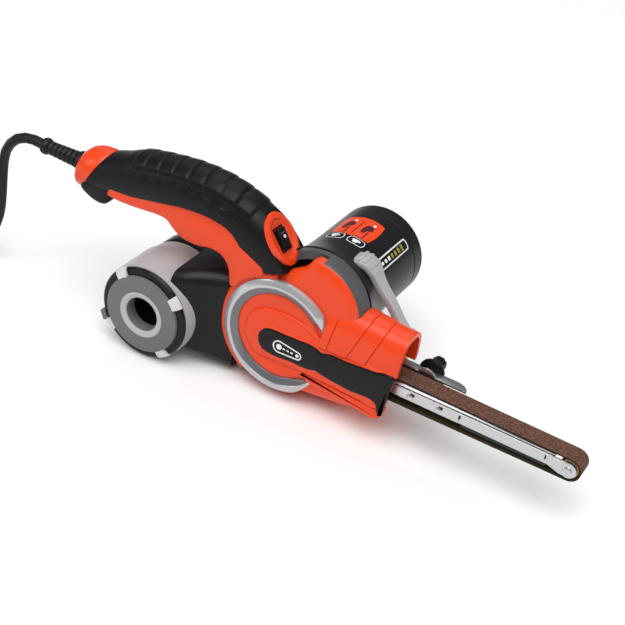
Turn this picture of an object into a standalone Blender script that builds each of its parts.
"""Handheld narrow-belt sander, modelled as an assembly of separate named pieces.

Sizes below are millimetres in the arm frame: X runs along the arm to its tip, Y runs from the
belt side to the motor side with the belt's centre plane at y = 0, and Z is up with the tip
roller's axis at z = 0. An empty shifts the whole assembly so that the origin is the middle of
the tool's footprint on the surface that it stands on.
"""
import math

import bmesh
import bpy
from mathutils import Matrix, Vector

MM = 0.001
GAP = 0.3                      # clearance between touching pieces

# Driving dimensions
TIP_X = 186.0                  # tip roller axis
DRIVE_X = -14.4                # drive roller axis
BELT_WIDTH = 13.0
BELT_THICKNESS = 1.0
TIP_R = 6.5
DRIVE_R = 8.5
MOTOR_X, MOTOR_Z = 15.6, 30.6  # motor axis, along Y
MOTOR_R = 29.5
MOTOR_Y1 = 83.2
COLLAR_R = 33.0                # where the motor flares out to meet the housing
COLLAR_Y0, COLLAR_Y1 = -7.0, 4.0
RING_X, RING_Z = 0.0, 5.0      # centre of the round belt-side cover
RING_R = 37.6
FACE_Y = -11.5                 # belt-side wall of the housing
SPLIT_Y = 9.7                  # where the two housing shells meet
BACK_Y = 24.0                  # motor-side wall of the housing
CAN_X, CAN_Z, CAN_R = -84.0, -8.5, 31.0
CAN_Y0, CAN_Y1 = -31.8, 14.0
FLOOR_Z = -39.5
TAIL_X = -158.0
HANDLE_W = 16.5
DOOR_Y, DOOR_Z = -12.4, -15.8  # belt door hinge axis
LEVER_X, LEVER_Z = 70.0, 21.5  # tension lever pivot axis
KNOB_X, KNOB_Z = 88.5, 6.6     # tracking knob axis
CORD_R = 3.35
EXIT_X, EXIT_Z = -188.0, 55.5  # where the lead leaves its strain relief

# The middle of the footprint, which becomes the origin
CENTRE_X = (TAIL_X + TIP_X + TIP_R + BELT_THICKNESS) / 2
CENTRE_Y = (CAN_Y0 - 1.2 + MOTOR_Y1) / 2

FINISHES = {
    "shell_orange": ((0.80, 0.075, 0.022), 0.36, 0.0),
    "grip_black": ((0.014, 0.014, 0.016), 0.62, 0.0),
    "motor_black": ((0.020, 0.020, 0.022), 0.42, 0.0),
    "collar_grey": ((0.075, 0.076, 0.080), 0.50, 0.0),
    "ring_silver": ((0.52, 0.53, 0.55), 0.34, 0.6),
    "canister_grey": ((0.44, 0.44, 0.45), 0.45, 0.0),
    "cap_grey": ((0.14, 0.14, 0.145), 0.50, 0.0),
    "lever_grey": ((0.36, 0.36, 0.37), 0.45, 0.0),
    "zinc_steel": ((0.55, 0.55, 0.56), 0.36, 1.0),
    "cast_aluminium": ((0.60, 0.60, 0.61), 0.50, 1.0),
    "roller_bronze": ((0.52, 0.34, 0.11), 0.45, 0.4),
    "belt_abrasive": ((0.14, 0.052, 0.032), 0.92, 0.0),
    "copper": ((0.75, 0.33, 0.18), 0.35, 1.0),
    "carbon": ((0.03, 0.03, 0.03), 0.80, 0.0),
    "drive_rubber": ((0.03, 0.03, 0.03), 0.80, 0.0),
    "cord_rubber": ((0.018, 0.018, 0.019), 0.60, 0.0),
    "filter_paper": ((0.62, 0.07, 0.05), 0.85, 0.0),
}

for old in list(bpy.data.objects):
    bpy.data.objects.remove(old, do_unlink=True)

frame = bpy.data.objects.new("frame", None)
frame.location = Vector((-CENTRE_X, -CENTRE_Y, -FLOOR_Z)) * MM
bpy.context.collection.objects.link(frame)


def make_material(name):
    """One Principled material for a finish."""
    colour, roughness, metallic = FINISHES[name]
    material = bpy.data.materials.new(name)
    material.use_nodes = True
    shader = material.node_tree.nodes["Principled BSDF"]
    shader.inputs["Base Color"].default_value = (*colour, 1.0)
    shader.inputs["Roughness"].default_value = roughness
    shader.inputs["Metallic"].default_value = metallic
    return material


materials = {name: make_material(name) for name in FINISHES}


def piece(name, bm, finish, at=(0, 0, 0)):
    """Turn a bmesh drawn in millimetres about `at` into an object placed there."""
    bmesh.ops.scale(bm, vec=(MM, MM, MM), verts=bm.verts)
    bmesh.ops.recalc_face_normals(bm, faces=bm.faces)
    mesh = bpy.data.meshes.new(name)
    bm.to_mesh(mesh)
    bm.free()
    if finish:
        mesh.materials.append(materials[finish])
    obj = bpy.data.objects.new(name, mesh)
    obj.location = Vector(at) * MM
    obj.parent = frame
    bpy.context.collection.objects.link(obj)
    return obj


def smooth(obj, angle=40):
    obj.data.shade_smooth()
    obj.data.set_sharp_from_angle(angle=math.radians(angle))
    return obj


def boolean(obj, bm, operation="DIFFERENCE"):
    """Cut a bmesh out of an object, or join it on; both are drawn in the arm frame."""
    helper = piece(obj.name + "_" + operation.lower(), bm, None)
    helper.hide_render = True
    helper.display_type = "WIRE"
    step = obj.modifiers.new(operation.lower(), "BOOLEAN")
    step.object = helper
    step.operation = operation
    step.solver = "EXACT"
    return obj


def plate(outline, y0, y1, bevel=0.0, segments=2):
    """An XZ outline extruded along Y, with its edges rounded."""
    bm = bmesh.new()
    base = bm.faces.new([bm.verts.new((x, y0, z)) for x, z in outline])
    grown = bmesh.ops.extrude_face_region(bm, geom=[base])
    top = [v for v in grown["geom"] if isinstance(v, bmesh.types.BMVert)]
    bmesh.ops.translate(bm, vec=(0, y1 - y0, 0), verts=top)
    bmesh.ops.recalc_face_normals(bm, faces=bm.faces)
    if bevel:
        rims = [e for e in bm.edges if abs(e.verts[0].co.y - e.verts[1].co.y) < 1e-6]
        bmesh.ops.bevel(bm, geom=rims, offset=bevel, affect="EDGES", segments=segments,
                        profile=0.5, material=-1, clamp_overlap=True)
    return bm


def block(x0, x1, y0, y1, z0, z1, bevel=0.0):
    bm = bmesh.new()
    bmesh.ops.create_cube(bm, size=1.0)
    bmesh.ops.scale(bm, vec=(x1 - x0, y1 - y0, z1 - z0), verts=bm.verts)
    bmesh.ops.translate(bm, vec=((x0 + x1) / 2, (y0 + y1) / 2, (z0 + z1) / 2), verts=bm.verts)
    if bevel:
        bmesh.ops.bevel(bm, geom=bm.edges[:], offset=bevel, affect="EDGES", segments=2,
                        profile=0.5, material=-1)
    return bm


def arc(cx, cz, radius, start, stop, count):
    """Points on an arc in the XZ plane, angles in degrees from +X towards +Z."""
    turn = [math.radians(start + (stop - start) * i / (count - 1)) for i in range(count)]
    return [(cx + radius * math.cos(a), cz + radius * math.sin(a)) for a in turn]


def turned(profile, x=0.0, z=0.0, sides=24, axis="Y"):
    """A closed profile of (radius, distance along the axis) points, turned about that axis."""
    bm = bmesh.new()
    verts = [bm.verts.new((r, y, 0)) for r, y in profile]
    edges = [bm.edges.new((verts[i], verts[(i + 1) % len(verts)])) for i in range(len(verts))]
    bmesh.ops.spin(bm, geom=verts + edges, cent=(0, 0, 0), axis=(0, 1, 0),
                   angle=math.tau, steps=sides, use_merge=True)
    bmesh.ops.remove_doubles(bm, verts=bm.verts, dist=1e-4)
    loose = [f for f in bm.faces if f.calc_area() < 1e-8]
    bmesh.ops.delete(bm, geom=loose, context="FACES")
    if axis == "X":
        bmesh.ops.rotate(bm, cent=(0, 0, 0), matrix=Matrix.Rotation(-math.pi / 2, 3, "Z"),
                         verts=bm.verts)
    bmesh.ops.translate(bm, vec=(x, 0, z), verts=bm.verts)
    bmesh.ops.recalc_face_normals(bm, faces=bm.faces)
    return bm


def rod(radius, y0, y1, x=0.0, z=0.0, sides=20):
    return turned([(0, y0), (radius, y0), (radius, y1), (0, y1)], x, z, sides)


def tube(inner, outer, y0, y1, x=0.0, z=0.0, sides=24):
    return turned([(inner, y0), (outer, y0), (outer, y1), (inner, y1)], x, z, sides)


def loft(rings):
    """A closed solid through rings of equally many points."""
    bm = bmesh.new()
    loops = [[bm.verts.new(p) for p in ring] for ring in rings]
    bm.faces.new(loops[0])
    bm.faces.new(loops[-1])
    for first, second in zip(loops, loops[1:]):
        for i in range(len(first)):
            j = (i + 1) % len(first)
            bm.faces.new((first[i], first[j], second[j], second[i]))
    bmesh.ops.recalc_face_normals(bm, faces=bm.faces)
    return bm


def belt_loop(circles, y0, y1, inner, outer, count=14):
    """A band around two circles (x, z, radius), thickened from `inner` to `outer` outside them."""
    (xa, za, ra), (xb, zb, rb) = circles
    heading = math.atan2(zb - za, xb - xa)
    lean = math.asin((ra - rb) / math.hypot(xb - xa, zb - za))
    bm = bmesh.new()
    loops = []
    for extra in (inner, outer):
        points = []
        for cx, cz, r, start, stop in (
                (xa, za, ra, math.pi / 2 - lean, 3 * math.pi / 2 + lean),
                (xb, zb, rb, 3 * math.pi / 2 + lean, 5 * math.pi / 2 - lean)):
            points += arc(cx, cz, r + extra, math.degrees(heading + start),
                          math.degrees(heading + stop), count)
        loops.append(points)
    rings = []
    for extra_loop, y in ((loops[0], y0), (loops[1], y0), (loops[1], y1), (loops[0], y1)):
        rings.append([bm.verts.new((x, y, z)) for x, z in extra_loop])
    total = len(rings[0])
    for a in range(4):
        first, second = rings[a], rings[(a + 1) % 4]
        for i in range(total):
            j = (i + 1) % total
            bm.faces.new((first[i], first[j], second[j], second[i]))
    bmesh.ops.recalc_face_normals(bm, faces=bm.faces)
    return bm


# ---------------------------------------------------------------- handle
# Centre line stations: x, z, half width, half height, and where the black grip ends below
# the centre line as a share of the half height.
HANDLE = [(-142, 54.5, 14.6, 15.0, 0.40), (-126, 59.5, 15.5, 16.0, 0.40),
          (-110, 63.5, 16.5, 17.0, 0.40), (-92, 66.8, 16.5, 17.2, 0.38),
          (-72, 69.0, 16.5, 17.4, 0.26), (-54, 68.0, 16.5, 17.6, 0.15),
          (-38, 63.5, 16.5, 18.0, 0.12), (-24, 56.5, 16.5, 18.5, 0.22),
          (-12, 49.0, 16.5, 18.5, 0.10), (-2, 42.5, 16.0, 18.0, -0.42)]
TAIL_UP = (0.14, 0.990)        # the tail's end face leans back a little
HOLLOW = 2.6


def handle_frame(i):
    """The centre point and the upward normal of one handle station, in the XZ plane."""
    before = HANDLE[max(i - 1, 0)]
    after = HANDLE[min(i + 1, len(HANDLE) - 1)]
    along = Vector((after[0] - before[0], after[1] - before[1])).normalized()
    up = Vector(TAIL_UP) if i == 0 else Vector((-along.y, along.x))
    return Vector(HANDLE[i][:2]), up


def grip_section(i, inset, sides=16):
    """The grip's D-shaped section; inset > 0 gives its hollow, which opens downwards."""
    centre, up = handle_frame(i)
    half_w, half_h, split = HANDLE[i][2] - inset, HANDLE[i][3] - inset, HANDLE[i][4]
    floor = -split * HANDLE[i][3] - (4.0 if inset else 0.0)
    start = math.asin(max(floor / half_h, -0.9))
    ring = []
    for k in range(sides + 1):
        a = start + (math.pi - 2 * start) * k / sides
        lift = half_h * math.sin(a)
        ring.append((centre.x + up.x * lift, half_w * math.cos(a), centre.y + up.y * lift))
    return ring


def build_handle():
    count = len(HANDLE)
    grip = piece("handle_grip", loft([grip_section(i, 0) for i in range(count)]), "grip_black")
    boolean(grip, loft([grip_section(i, HOLLOW) for i in range(1, count - 1)]))
    boolean(grip, pod_frame(block(-17.4, 17.4, -13.2, 13.2, -0.4, 30)))
    boolean(grip, pod_frame(block(-10.4, 10.4, -7.4, 7.4, -17, 4)))
    boolean(grip, plate(body_outline(-GAP), FACE_Y - 1, COLLAR_Y0 + 0.6))
    smooth(grip)

    # The shell under the grip, hollow from above.
    spine_x = [-128, -118, -104, -90, -82, -74, -62, -52, -44.4]
    spine_low = [50.5, 47.8, 47.5, 49.0, 47.5, 43.2, 40.4, 39.6, 39.4]

    def spine_top(x):
        for i in range(count - 1):
            a, b = HANDLE[i], HANDLE[i + 1]
            if a[0] <= x <= b[0]:
                t = (x - a[0]) / (b[0] - a[0])
                return a[1] - a[4] * a[3] + t * (b[1] - b[4] * b[3] - a[1] + a[4] * a[3]) - 0.9
        return HANDLE[0][1]

    outer, inner = [], []
    for x, low in zip(spine_x, spine_low):
        top, half = spine_top(x), 14.2
        corner = min(7.0, (top - low) * 0.6)
        side = arc(half - corner, low + corner, corner, 0, -90, 4)
        outer.append([(x, half, top)] + [(x, y, z) for y, z in side]
                     + [(x, -y, z) for y, z in reversed(side)] + [(x, -half, top)])
        inner.append([(x, half - 2.5, top + 3), (x, half - 2.5, low + 6), (x, half - 6, low + 3),
                      (x, 6 - half, low + 3), (x, 2.5 - half, low + 6), (x, 2.5 - half, top + 3)])
    spine = piece("handle_spine", loft(outer), "shell_orange")
    boolean(spine, loft(inner[1:-1]))
    smooth(spine)

    # The neck that joins the handle to the housing.
    neck = [(-44, 39.4), (-40.5, 35), (-38.8, 30.6), (-27.2, 38.6), (-20.5, 43.4),
            (-28.8, 54.6), (-37.0, 59.4), (-44, 62.0)]
    piece("handle_neck", plate(neck, -14.2, 14.2, 1.5), "shell_orange")
    boolean(bpy.data.objects["handle_neck"], block(-41, -27, -11, 11, 42, 70))

    collar = turned([(7.0, -15.0), (8.6, -15.0), (11.6, -13.0), (14.2, -7.5), (14.9, -0.4),
                     (11.0, -0.4), (9.5, -6.0), (7.0, -12.5)], 0, 0, 28, "X")
    bmesh.ops.rotate(collar, cent=(0, 0, 0), verts=collar.verts,
                     matrix=Matrix.Rotation(math.atan2(TAIL_UP[0], TAIL_UP[1]), 3, "Y"))
    bmesh.ops.translate(collar, vec=(HANDLE[0][0], 0, HANDLE[0][1]), verts=collar.verts)
    smooth(piece("tail_collar", collar, "shell_orange"))


# ---------------------------------------------------------------- housing
def body_outline(inset=0.0):
    """The housing's outline seen from the belt side: ring, sole, front, and motor shoulder."""
    left = arc(RING_X, RING_Z, RING_R + 1.4 - inset, 142, 232, 9)
    below = [(-8, -32.4 + inset), (24, -29.0 + inset), (52, -24.8 + inset), (56, -19.0 + inset)]
    front = [(70 - inset, -19.0 + inset), (70 - inset, 12.8)]
    shoulder = arc(MOTOR_X, MOTOR_Z, COLLAR_R - 0.6 - inset, -28, 104, 14)
    return left + below + front + shoulder + [(6.6, 54.0 - inset), (-1.4, 49.2 - inset),
                                              (-16, 42.4 - inset), (-24 + inset, 39.6 - inset)]


def far_outline(inset=0.0):
    """The motor-side shell's outline: it reaches down to a flat foot under the motor."""
    left = arc(RING_X, RING_Z, RING_R + 1.4 - inset, 142, 214, 7)
    foot = [(-24 + inset, FLOOR_Z + inset), (38 - inset, FLOOR_Z + inset), (54 - inset, -19.0 + inset)]
    return left + foot + [(70 - inset, -19.0 + inset), (70 - inset, 12.8), (44, 12.8),
                          (28, 36 - inset), (-10, 36 - inset), (-24, 34 - inset)]


def over_motor(radius, y0, y1):
    """A cylinder round the motor's axis, for cutting neighbours back."""
    return rod(radius, y0, y1, MOTOR_X, MOTOR_Z, 36)


def build_housing():
    near = piece("housing_near", plate(body_outline(), FACE_Y, SPLIT_Y, 1.2), "shell_orange")
    boolean(near, plate(body_outline(2.6), FACE_Y + 2.2, SPLIT_Y + 2))
    boolean(near, plate(door_outline(-0.9), FACE_Y - 3, FACE_Y + 4))
    boolean(near, block(60, 80, FACE_Y - 3, SPLIT_Y + 3, -12, 13.8))
    boolean(near, block(-30, 60, COLLAR_Y0 - GAP, SPLIT_Y + 3, 13.6, 80))
    smooth(near)

    far = piece("housing_far", plate(far_outline(), SPLIT_Y + GAP, BACK_Y, 1.2), "shell_orange")
    boolean(far, plate(far_outline(2.6), SPLIT_Y - 2, BACK_Y - 2.2))
    boolean(far, over_motor(COLLAR_R + 0.8, 0, 60))
    boolean(far, rod(9.6, 5, BACK_Y + 5, DRIVE_X, 0))
    boolean(far, block(60, 80, 6, 16, -9, 20))
    smooth(far)

    foot = [(-22, FLOOR_Z), (38, FLOOR_Z), (36, FLOOR_Z + 4), (34, -4), (-4, -4),
            (-20, FLOOR_Z + 4)]
    under = piece("motor_foot", plate(foot, BACK_Y + GAP, 54, 1.0), "collar_grey")
    boolean(under, plate([(-17, FLOOR_Z + 4.5), (33, FLOOR_Z + 4.5), (30, -7.0), (-2, -7.0)],
                         BACK_Y + 2.5, 60))
    boolean(under, over_motor(MOTOR_R + 1.6, 0, 90))

    # Nose: a tapering arch over the arm, with an open underside.
    stations = [(34.4, 15.6, 37.4), (45.0, 15.4, 39.0), (56.0, 15.0, 39.0), (67.0, 14.0, 37.8),
                (79.0, 13.0, 36.6)]
    rings = []
    for x, half, top in stations:
        ring = []
        for shrink, order in ((0.0, 1), (2.4, -1)):
            bow = []
            for k in range(15):
                a = math.pi * k / 14
                bow.append((x, (half - shrink) * math.copysign(abs(math.cos(a)) ** 0.72,
                                                               math.cos(a)),
                            13.6 + (top - shrink - 13.6) * math.sin(a) ** 0.72))
            ring += bow[::order]
        rings.append(ring)
    nose = piece("nose_shroud", loft(rings), "shell_orange")
    boolean(nose, over_motor(COLLAR_R + 0.4, FACE_Y - GAP, 60))
    smooth(nose)

    # Duct between the housing and the canister.
    sections = [(-68.0, -26.0, 19.0, -24.0, 25.5, 5.0), (-54.0, -21.0, 20.0, -29.0, 28.0, 7.0),
                (-30.0, -11.2, 21.0, -35.0, 29.0, 8.0)]
    rings = []
    for x, y0, y1, z0, z1, corner in sections:
        ring = [(x, y, z) for y, z in arc(y0 + corner, z1 - corner, corner, 180, 90, 5)]
        ring += [(x, y, z) for y, z in arc(y1 - 3, z1 - 3, 3, 90, 0, 3)]
        ring += [(x, y, z) for y, z in arc(y1 - 3, z0 + 3, 3, 0, -90, 3)]
        ring += [(x, y, z) for y, z in arc(y0 + 4, z0 + 4, 4, -90, -180, 3)]
        rings.append(ring)
    obj = piece("dust_duct", loft(rings), "motor_black")
    boolean(obj, rod(RING_R + 1.8, -40, 40, RING_X, RING_Z, 48))
    boolean(obj, rod(CAN_R + 0.5, CAN_Y0 - 6, CAN_Y1 + 1.4, CAN_X, CAN_Z, 36))
    boolean(obj, rod(29.5, CAN_Y1, CAN_Y1 + 20, CAN_X, CAN_Z, 36))
    boolean(obj, plate(far_outline(-GAP), SPLIT_Y - 1, BACK_Y + 3))
    boolean(obj, block(-50.0, -36, -8, 17, -20, 16, 1.0))
    smooth(obj)
    # Manifold behind the canister, which its spigot plugs into.
    manifold = arc(CAN_X, CAN_Z, 29.0, 0, 345, 24)
    obj = piece("dust_manifold", plate(manifold, CAN_Y1 + 1.6, CAN_Y1 + 16, 2.0), "motor_black")
    boolean(obj, rod(24.5, CAN_Y1 - 1, CAN_Y1 + 13, CAN_X, CAN_Z))
    smooth(obj)


# ---------------------------------------------------------------- belt door
def door_outline(inset=0.0):
    """The hinged door's outline: a teardrop round the drive end and a bar along the arm."""
    left = arc(-6.0, 5.0, 18.6 - inset, 100, 232, 10)
    below = [(-4, -12.0 + inset), (24, -12.2 + inset), (30, -12.6 + inset), (69, -12.6 + inset)]
    front = [(73.5 - inset, -9), (76 - inset, 2), (77 - inset, 13.0 - inset)]
    above = [(50, 12.2 - inset), (33, 12.4 - inset), (27, 15.8 - inset), (8, 22.4 - inset)]
    return left + below + front + above


def band_outline(inset=0.0):
    """The black panel's outline on the door, with a step part of the way along."""
    left = arc(-3.2, 0.4, 9.6 - inset, 95, 232, 8)
    below = [(2, -9.0 + inset), (27, -6.9 + inset), (32, -6.9 + inset), (70, -10.4 + inset),
             (72, -10.0 + inset)]
    front = [(74.6 - inset, -3), (76 - inset, 11.4 - inset)]
    above = [(52, 10.6 - inset), (32, 9.6 - inset), (27, 10.2 - inset)]
    return left + below + front + above


def build_door():
    door = piece("belt_door", plate(door_outline(0.5), FACE_Y - 1.6, FACE_Y + 1.0, 0.4),
                 "shell_orange")
    barrel = turned([(0, 43), (2.7, 43), (2.7, 61), (0, 61)], 0, DOOR_Z, 20, "X")
    bmesh.ops.translate(barrel, vec=(0, DOOR_Y, 0), verts=barrel.verts)
    boolean(door, barrel, "UNION")
    boolean(door, block(43, 61, DOOR_Y - 0.6, DOOR_Y + 1.2, DOOR_Z + 1, -11), "UNION")
    bore = turned([(0, 30), (1.3, 30), (1.3, 75), (0, 75)], 0, DOOR_Z, 12, "X")
    bmesh.ops.translate(bore, vec=(0, DOOR_Y, 0), verts=bore.verts)
    boolean(door, bore)
    smooth(door)

    panel = piece("door_panel", plate(band_outline(), FACE_Y - 3.6, FACE_Y - 1.6 - GAP, 0.6),
                  "grip_black")
    smooth(panel)

    near = bpy.data.objects["housing_near"]
    for x0, x1 in ((36.0, 42.7), (61.3, 68.5)):
        knuckle = turned([(0, x0), (2.7, x0), (2.7, x1), (0, x1)], 0, DOOR_Z, 20, "X")
        bmesh.ops.translate(knuckle, vec=(0, DOOR_Y, 0), verts=knuckle.verts)
        boolean(near, knuckle, "UNION")
    bore = turned([(0, 30), (1.3, 30), (1.3, 75), (0, 75)], 0, DOOR_Z, 12, "X")
    bmesh.ops.translate(bore, vec=(0, DOOR_Y, 0), verts=bore.verts)
    boolean(near, bore)
    boolean(near, block(42.7, 61.3, DOOR_Y - 3, DOOR_Y + 3.2, DOOR_Z - 3.2, DOOR_Z + 3.2))
    pin = turned([(0, 37), (1.0, 37), (1.0, 67.5), (0, 67.5)], 0, DOOR_Z, 12, "X")
    bmesh.ops.translate(pin, vec=(0, DOOR_Y, 0), verts=pin.verts)
    piece("door_hinge_pin", pin, "zinc_steel")

    # Silver crescent round the door.
    bm = bmesh.new()
    profile = [(28.4, -11.8), (28.4, -13.6), (31.0, -14.6), (33.4, -15.5), (37.0, -14.0),
               (37.6, -11.8)]
    verts = [bm.verts.new((r, y, 0)) for r, y in profile]
    face = bm.faces.new(verts)
    bmesh.ops.rotate(bm, cent=(0, 0, 0), matrix=Matrix.Rotation(math.radians(-33), 3, "Y"),
                     verts=bm.verts)
    bmesh.ops.spin(bm, geom=[face], cent=(0, 0, 0), axis=(0, 1, 0), angle=math.radians(-284),
                   steps=44, use_merge=False)
    bmesh.ops.remove_doubles(bm, verts=bm.verts, dist=1e-4)
    bm.faces.ensure_lookup_table()
    bmesh.ops.contextual_create(bm, geom=[e for e in bm.edges if e.is_boundary])
    bmesh.ops.recalc_face_normals(bm, faces=bm.faces)
    bmesh.ops.translate(bm, vec=(RING_X, 0, RING_Z), verts=bm.verts)
    smooth(piece("trim_ring", bm, "ring_silver"))


# ---------------------------------------------------------------- switch
POD = Vector((-12.5, -3.0, 62.6))
POD_TILT = math.radians(52)     # how far the pod's face leans forward from level


def pod_frame(bm):
    """Move a shape drawn on a level plane at the origin onto the sloping pod."""
    bmesh.ops.rotate(bm, cent=(0, 0, 0), matrix=Matrix.Rotation(POD_TILT, 3, "Y"),
                     verts=bm.verts)
    bmesh.ops.translate(bm, vec=POD, verts=bm.verts)
    return bm


def oval_ring(outer, inner, z0, z1, sides=28):
    """A flat oval ring; each of outer and inner is (half x, half y)."""
    bm = bmesh.new()
    rings = []
    for (a, b), z in ((outer, z0), (outer, z1), (inner, z1), (inner, z0)):
        turn = [math.tau * i / sides for i in range(sides)]
        rings.append([bm.verts.new((a * math.cos(t), b * math.sin(t), z)) for t in turn])
    for k in range(4):
        first, second = rings[k], rings[(k + 1) % 4]
        for i in range(sides):
            j = (i + 1) % sides
            bm.faces.new((first[i], first[j], second[j], second[i]))
    return bm


def build_switch():
    smooth(piece("switch_bezel", pod_frame(oval_ring((16.5, 12.6), (8.8, 6.2), 0.0, 2.4)),
                 "shell_orange"))
    rocker = block(-6.0, 6.0, -3.9, 3.9, -1.0, 3.2, 0.5)
    piece("switch_rocker", pod_frame(rocker), "grip_black")
    piece("switch_module", pod_frame(block(-9, 9, -6, 6, -15, -2.9, 0.6)), "grip_black")


# ---------------------------------------------------------------- motor
def carrier_outline(grow=0.0):
    """The plate that joins the motor's shaft to the drive shaft, seen along Y."""
    return (arc(MOTOR_X, MOTOR_Z, 20.6 + grow, -30, 130, 14)
            + arc(DRIVE_X, 0, 10.0 + grow, 150, 290, 10))


def build_motor():
    # A dark collar, then the flared motor tube; both are notched to let the belt pass below.
    collar = turned([(COLLAR_R - 2.4, COLLAR_Y0), (COLLAR_R - 1.0, COLLAR_Y0),
                     (COLLAR_R, COLLAR_Y0 + 2), (COLLAR_R, COLLAR_Y1),
                     (COLLAR_R - 2.4, COLLAR_Y1)], MOTOR_X, MOTOR_Z, 36)
    obj = piece("motor_collar", collar, "collar_grey")
    boolean(obj, block(-40, 80, -20, 9.2, -20, 14.4))
    boolean(obj, block(-40, 8.4, -20, 17.6, -20, 80))
    smooth(obj)
    tube_profile = [(COLLAR_R - 2.6, COLLAR_Y1 + GAP), (COLLAR_R + 0.2, COLLAR_Y1 + GAP),
                    (COLLAR_R - 1.6, COLLAR_Y1 + 7), (MOTOR_R + 0.6, COLLAR_Y1 + 16),
                    (MOTOR_R, COLLAR_Y1 + 26), (MOTOR_R, 77.6), (MOTOR_R - 2.6, 77.6),
                    (MOTOR_R - 2.6, COLLAR_Y1 + 26)]
    obj = piece("motor_housing", turned(tube_profile, MOTOR_X, MOTOR_Z, 36), "motor_black")
    boolean(obj, block(-40, 80, -20, 25.0, -20, 14.4))
    boolean(obj, block(-40, 8.4, -20, 17.6, -20, 80))
    boolean(obj, plate(carrier_outline(0.6), 17.0, 22.2))
    smooth(obj)
    cap = [(0, 80.8), (6, 80.8), (6, 76), (9.5, 76), (9.5, 80.2), (MOTOR_R - 3.6, 80.2),
           (MOTOR_R - 3.6, 77.9), (MOTOR_R, 77.9), (MOTOR_R, 81.2), (MOTOR_R - 1.2, 82.6),
           (MOTOR_R - 3.6, MOTOR_Y1), (0, MOTOR_Y1)]
    smooth(piece("motor_end_cap", turned(cap, MOTOR_X, MOTOR_Z, 28), "motor_black"))

    def on_motor(name, bm, finish):
        return smooth(piece(name, bm, finish))

    on_motor("stator", tube(16.0, 25.5, 40, 64, MOTOR_X, MOTOR_Z, 36), "zinc_steel")
    shaft = [(0, 11.2), (2.9, 11.2), (2.9, 41), (14.8, 41), (14.8, 63), (3.4, 63), (3.4, 75),
             (2.9, 75.4), (2.9, 80.2), (0, 80.2)]
    on_motor("armature", turned(shaft, MOTOR_X, MOTOR_Z, 32), "zinc_steel")
    on_motor("commutator", tube(3.7, 9.0, 66, 73, MOTOR_X, MOTOR_Z, 24), "copper")
    fan = tube(3.2, 21.5, 33.4, 34.8, MOTOR_X, MOTOR_Z, 32)
    fan_obj = piece("cooling_fan", fan, "cap_grey")
    for k in range(9):
        blade = block(7, 21, 34.5, 38.6, -0.6, 0.6)
        bmesh.ops.rotate(blade, cent=(0, 0, 0), verts=blade.verts,
                         matrix=Matrix.Rotation(math.tau * k / 9, 3, "Y"))
        bmesh.ops.translate(blade, vec=(MOTOR_X, 0, MOTOR_Z), verts=blade.verts)
        boolean(fan_obj, blade, "UNION")
    on_motor("front_bearing", tube(3.2, 8.0, 26.6, 31.4, MOTOR_X, MOTOR_Z, 24), "zinc_steel")
    on_motor("rear_bearing", tube(3.2, 5.7, 76.2, 80.2, MOTOR_X, MOTOR_Z, 24), "zinc_steel")
    for side, sign in (("upper", 1), ("lower", -1)):
        low, high = sorted((sign * 10.2, sign * 22.5))
        holder = piece("brush_holder_" + side,
                       block(MOTOR_X - 4, MOTOR_X + 4, 66.4, 72.8, MOTOR_Z + low,
                             MOTOR_Z + high), "copper")
        boolean(holder, block(MOTOR_X - 2.6, MOTOR_X + 2.6, 67.6, 71.6, MOTOR_Z - 30,
                              MOTOR_Z + 30))
        low, high = sorted((sign * 9.4, sign * 20.0))
        piece("carbon_brush_" + side,
              block(MOTOR_X - 2.2, MOTOR_X + 2.2, 68, 71.2, MOTOR_Z + low, MOTOR_Z + high),
              "carbon")

    # The plate that carries both shafts' far bearings.
    mount = piece("motor_plate", plate(carrier_outline(), 18.7, 21.4, 0.4), "cast_aluminium")
    boolean(mount, rod(4.0, 0, 40, MOTOR_X, MOTOR_Z))
    boolean(mount, rod(3.6, 0, 40, DRIVE_X, 0))
    seat = piece("bearing_seat", turned([(8.3, 25.6), (12.5, 25.6), (23.4, 25.6), (23.4, 28.4),
                                         (12.5, 28.4), (12.5, 31.8), (8.3, 31.8)],
                                        MOTOR_X, MOTOR_Z, 32), "cast_aluminium")
    smooth(seat)


# ---------------------------------------------------------------- drive train
PULLEY_MOTOR_R, PULLEY_DRIVEN_R = 8.0, 12.0


def build_drive():
    smooth(piece("motor_pulley", tube(3.2, PULLEY_MOTOR_R, 11.2, 17.0, MOTOR_X, MOTOR_Z, 24),
                 "zinc_steel"))
    smooth(piece("driven_pulley", tube(3.3, PULLEY_DRIVEN_R, 11.2, 17.0, DRIVE_X, 0, 28),
                 "cast_aluminium"))
    loop = belt_loop(((DRIVE_X, 0, PULLEY_DRIVEN_R), (MOTOR_X, MOTOR_Z, PULLEY_MOTOR_R)),
                     11.6, 16.6, 0.3, 2.0)
    smooth(piece("toothed_belt", loop, "drive_rubber"))
    smooth(piece("drive_shaft", rod(3.0, -7.4, 23.2, DRIVE_X, 0, 20), "zinc_steel"))
    smooth(piece("drive_roller", tube(3.3, DRIVE_R - GAP, -6.6, 6.6, DRIVE_X, 0, 32),
                 "drive_rubber"))
    smooth(piece("output_bearing", tube(3.3, 6.8, 7.4, 9.2, DRIVE_X, 0, 24), "zinc_steel"))


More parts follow.
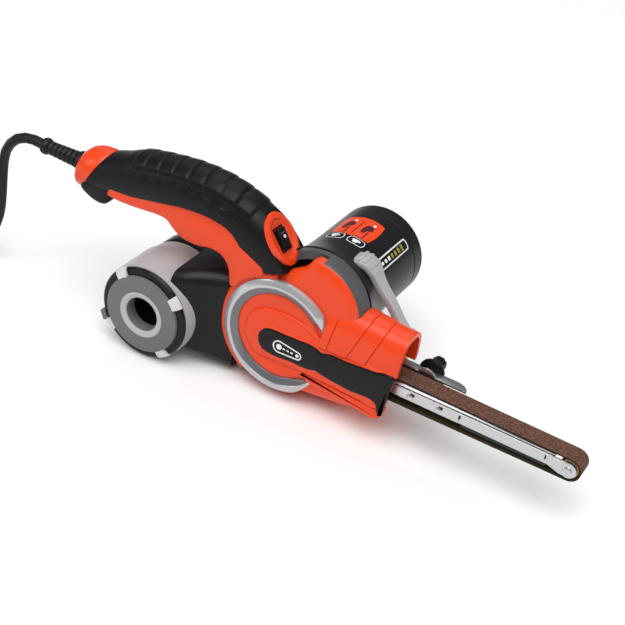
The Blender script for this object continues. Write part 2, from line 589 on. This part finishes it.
# ---------------------------------------------------------------- arm and sanding belt
def build_arm():
    loop = belt_loop(((DRIVE_X, 0, DRIVE_R), (TIP_X, 0, TIP_R)), -BELT_WIDTH / 2,
                     BELT_WIDTH / 2, 0.0, BELT_THICKNESS)
    smooth(piece("sanding_belt", loop, "belt_abrasive"))
    smooth(piece("tip_roller", tube(1.9, TIP_R - GAP, -5.9, 5.9, TIP_X, 0, 28),
                 "roller_bronze"))
    tip_pin = [(0, -8.6), (2.4, -8.6), (2.4, -8.0), (1.6, -8.0), (1.6, 8.4), (0, 8.4)]
    smooth(piece("tip_pin", turned(tip_pin, TIP_X, 0, 20), "zinc_steel"))

    # Near side plate: a narrow bar under the belt's top run with a round end on the pin.
    side = [(64, -1.4), (TIP_X - 12, -1.6), (TIP_X - 4, -4.2)] + \
        arc(TIP_X, 0, 4.6, -110, 80, 9) + [(TIP_X - 8, 4.8), (64, 4.8)]
    for name, y0, y1 in (("arm_near_plate", -7.7, -6.8), ("arm_far_plate", 6.8, 7.7)):
        obj = piece(name, plate(side, y0, y1, 0.2, 1), "zinc_steel")
        boolean(obj, rod(1.9, -12, 12, TIP_X, 0, 20))
        for x in (87.1, 105.4):
            boolean(obj, rod(1.5, -12, 12, x, 2.0, 12))
    piece("platen", block(66, TIP_X - 9, -6.4, 6.4, 4.6, 5.6, 0.2), "zinc_steel")
    for name, x in (("rivet_rear", 87.1), ("rivet_front", 105.4)):
        profile = [(0, -9.1), (1.3, -8.9), (2.3, -8.0), (1.2, -8.0), (1.2, 7.8), (0, 7.8)]
        smooth(piece(name, turned(profile, x, 2.0, 12), "zinc_steel"))

    # Far side bracket: an angle with a flange over the arm, which the knob's screw passes through.
    top = [(70.4, 8.1), (70.4, 14.4), (107, 14.4), (111, 13.2), (113.6, 10.6), (114.4, 8.1)]
    bm = bmesh.new()
    base = bm.faces.new([bm.verts.new((x, y, 7.6)) for x, y in top])
    grown = bmesh.ops.extrude_face_region(bm, geom=[base])
    bmesh.ops.translate(bm, vec=(0, 0, 1.2), verts=[
        v for v in grown["geom"] if isinstance(v, bmesh.types.BMVert)])
    bracket = piece("arm_bracket", bm, "zinc_steel")
    boolean(bracket, block(70.4, 100, 8.1, 9.3, -7.5, 8.2), "UNION")
    boolean(bracket, rod(6.2, 8.1, 9.3, KNOB_X, KNOB_Z, 20), "UNION")
    boolean(bracket, rod(2.3, 0, 20, KNOB_X, KNOB_Z, 16))
    smooth(bracket)

    piece("arm_carriage", block(26, 63.6, -5.6, 5.6, -3.4, 4.2, 0.6), "cast_aluminium")
    coil_rings, turns, wire, radius = [], 6, 0.55, 3.0
    steps = turns * 9
    for k in range(steps + 1):
        a = math.tau * turns * k / steps
        centre = Vector((2.5 + 16 * k / steps, radius * math.cos(a), 0.4 + radius * math.sin(a)))
        out = Vector((0, math.cos(a), math.sin(a)))
        coil_rings.append([centre + wire * (out * math.cos(b) + Vector((1, 0, 0)) * math.sin(b))
                           for b in (math.tau * j / 4 for j in range(4))])
    smooth(piece("tension_spring", loft(coil_rings), "zinc_steel"))

    profile = [(0, 8.4), (1.9, 8.4), (1.9, 15.2), (7.6, 15.2), (7.9, 17.0), (7.0, 18.2),
               (4.6, 21.5), (4.1, 24.5), (4.6, 27.4), (3.9, 28.6), (0, 28.6)]
    smooth(piece("tracking_knob", turned(profile, KNOB_X, KNOB_Z, 24), "grip_black"))


def build_lever():
    """The tension lever: a ribbed thumb pad and a strap down to its pivot."""
    stations = [(29.5, 62.2, 9.8, 6.2, 1.6), (34.0, 63.2, 9.8, 6.4, 2.4),
                (40.0, 59.0, 10.0, 6.4, 2.4), (44.8, 53.0, 11.0, 5.2, 2.4),
                (50.0, 46.6, 13.0, 4.2, 2.4), (58.0, 37.0, 16.2, 3.6, 2.4),
                (69.2, 22.6, 17.9, 3.0, 2.6)]
    rings = []
    for i, (x, z, y, half, thick) in enumerate(stations):
        a = stations[max(i - 1, 0)]
        b = stations[min(i + 1, len(stations) - 1)]
        along = Vector((b[0] - a[0], b[1] - a[1])).normalized()
        up = Vector((-along.y, along.x)) * thick
        corner = 0.45
        ring = []
        for sy, su in ((1, -1 + corner), (1, 1 - corner), (1 - corner / 2, 1), (-1 + corner / 2, 1),
                       (-1, 1 - corner), (-1, -1 + corner), (-1 + corner / 2, -1),
                       (1 - corner / 2, -1)):
            ring.append((x + up.x * su, y + half * sy, z + up.y * su))
        rings.append(ring)
    lever = piece("tension_lever", loft(rings), "lever_grey")
    boolean(lever, rod(5.0, 15.0, 21.0, LEVER_X, LEVER_Z, 20), "UNION")
    boolean(lever, rod(2.2, 0, 40, LEVER_X, LEVER_Z, 20))
    smooth(lever)
    pin = [(0, 14.2), (1.9, 14.2), (1.9, 21.4), (3.2, 21.4), (3.2, 22.6), (0, 22.6)]
    smooth(piece("lever_pin", turned(pin, LEVER_X, LEVER_Z, 20), "zinc_steel"))


# ---------------------------------------------------------------- dust canister
def build_canister():
    can = [(15.0, CAN_Y1 - 1.8), (15.0, CAN_Y1), (28.6, CAN_Y1), (30.2, CAN_Y1 - 1.4),
           (31.0, CAN_Y0 + 5), (31.0, CAN_Y0 + 3.2), (28.4, CAN_Y0 + 3.2), (28.4, CAN_Y1 - 1.8)]
    smooth(piece("canister_body", turned(can, CAN_X, CAN_Z, 28), "canister_grey"))
    cap = [(11.4, CAN_Y0 - 0.6), (14.2, CAN_Y0 - 1.2), (26.5, CAN_Y0 - 1.2), (30.6, CAN_Y0 + 1.0),
           (30.6, CAN_Y0 + 2.9), (28.0, CAN_Y0 + 2.9), (27.0, CAN_Y0 + 1.6), (13, CAN_Y0 + 1.6),
           (13, CAN_Y0 + 10), (11.4, CAN_Y0 + 10)]
    smooth(piece("canister_cap", turned(cap, CAN_X, CAN_Z, 28), "cap_grey"))
    smooth(piece("dust_filter", tube(13.4, 21.5, CAN_Y0 + 10, CAN_Y1 - 3, CAN_X, CAN_Z, 28),
                 "filter_paper"))


# ---------------------------------------------------------------- supply lead
def smooth_points(points, step):
    """Points about `step` apart along a smooth curve through the route's own points."""
    knots = [Vector(p) for p in points]
    knots = [2 * knots[0] - knots[1]] + knots + [2 * knots[-1] - knots[-2]]
    fine = []
    for i in range(1, len(knots) - 2):
        a, b, c, d = knots[i - 1:i + 3]
        for k in range(24):
            t = k / 24
            fine.append(0.5 * (2 * b + (c - a) * t + (2 * a - 5 * b + 4 * c - d) * t ** 2
                               + (3 * b - 3 * c + d - a) * t ** 3))
    fine.append(knots[-2])
    chosen, run = [fine[0]], 0.0
    for before, after in zip(fine, fine[1:]):
        run += (after - before).length
        if run >= step:
            chosen.append(after)
            run = 0.0
    if (chosen[-1] - fine[-1]).length < step * 0.4:
        chosen.pop()
    return chosen + [fine[-1]]


COIL = Vector((-287.0, -66.0, FLOOR_Z))
COIL_OUTER, COIL_INNER, COIL_HEIGHT = 46.5, 25.5, 20.6
LEAD_ROUTE = [(EXIT_X - 0.7, 0, EXIT_Z), (-196, 0, 56.0), (-203, 0, 54.8), (-209.5, 0, 51.6),
              (-214.8, 0, 46.2), (-218.3, 0, 39.6), (-219.9, 0, 32.0), (-220.6, 0, 20.0),
              (-221.0, 0, 5.0), (-221.8, -1.0, -9.0), (-224.0, -5.5, -21.0),
              (-227.6, -14.5, -30.2), (-231.6, -27.0, FLOOR_Z + CORD_R + 1.4),
              (-235.0, -42.0, FLOOR_Z + CORD_R + 0.3), (-236.8, -60.0, FLOOR_Z + CORD_R + 0.3)]


def build_lead():
    relief = [(0, EXIT_X), (4.4, EXIT_X), (5.2, EXIT_X + 1.4), (5.2, EXIT_X + 4.0),
              (4.2, EXIT_X + 5.6), (5.0, TAIL_X - 3), (5.0, -150), (0, -150)]
    smooth(piece("strain_relief", turned(relief, 0, EXIT_Z, 20, "X"), "cord_rubber"))
    piece("cord_clamp", block(-112, -106, -6, 6, 54, 58, 0.4), "grip_black")

    curve = bpy.data.curves.new("cord_run", "CURVE")
    curve.dimensions = "3D"
    curve.bevel_depth = CORD_R * MM
    curve.bevel_resolution = 2
    curve.use_fill_caps = True
    points = smooth_points(LEAD_ROUTE, 15.0)
    spline = curve.splines.new("POLY")
    spline.points.add(len(points) - 1)
    for slot, place in zip(spline.points, points):
        slot.co = (*(place * MM), 1.0)
    curve.materials.append(materials["cord_rubber"])
    cord = bpy.data.objects.new("cord_run", curve)
    cord.parent = frame
    bpy.context.collection.objects.link(cord)

    profile = [(COIL_INNER, 0.4), (COIL_OUTER, 0.4), (COIL_OUTER, COIL_HEIGHT),
               (COIL_INNER, COIL_HEIGHT)]
    coil = turned(profile, 0, 0, 36)
    bmesh.ops.rotate(coil, cent=(0, 0, 0), matrix=Matrix.Rotation(math.pi / 2, 3, "X"),
                     verts=coil.verts)
    bmesh.ops.translate(coil, vec=COIL, verts=coil.verts)
    smooth(piece("cord_coil", coil, "cord_rubber"))

    # The plug lies on the coil with its pins towards the tail end of the tool.
    corner = COIL + Vector((0, 0, COIL_HEIGHT))
    body = block(-34.4, 1.6, -38.4, -12.4, 0.6, 18, 3.0)
    bmesh.ops.translate(body, vec=corner, verts=body.verts)
    plug = piece("mains_plug", body, "cord_rubber")
    for y in (-31.4, -19.4):
        pin = turned([(0, -33.4), (2.4, -33.4), (2.4, -51.4), (1.4, -52.9), (0, -52.9)],
                     0, 0, 14, "X")
        bmesh.ops.translate(pin, vec=corner + Vector((0, y, 9)), verts=pin.verts)
        boolean(plug, pin, "UNION")


build_handle()
build_housing()
build_door()
build_switch()
build_motor()
build_drive()
build_arm()
build_lever()
build_canister()
build_lead()
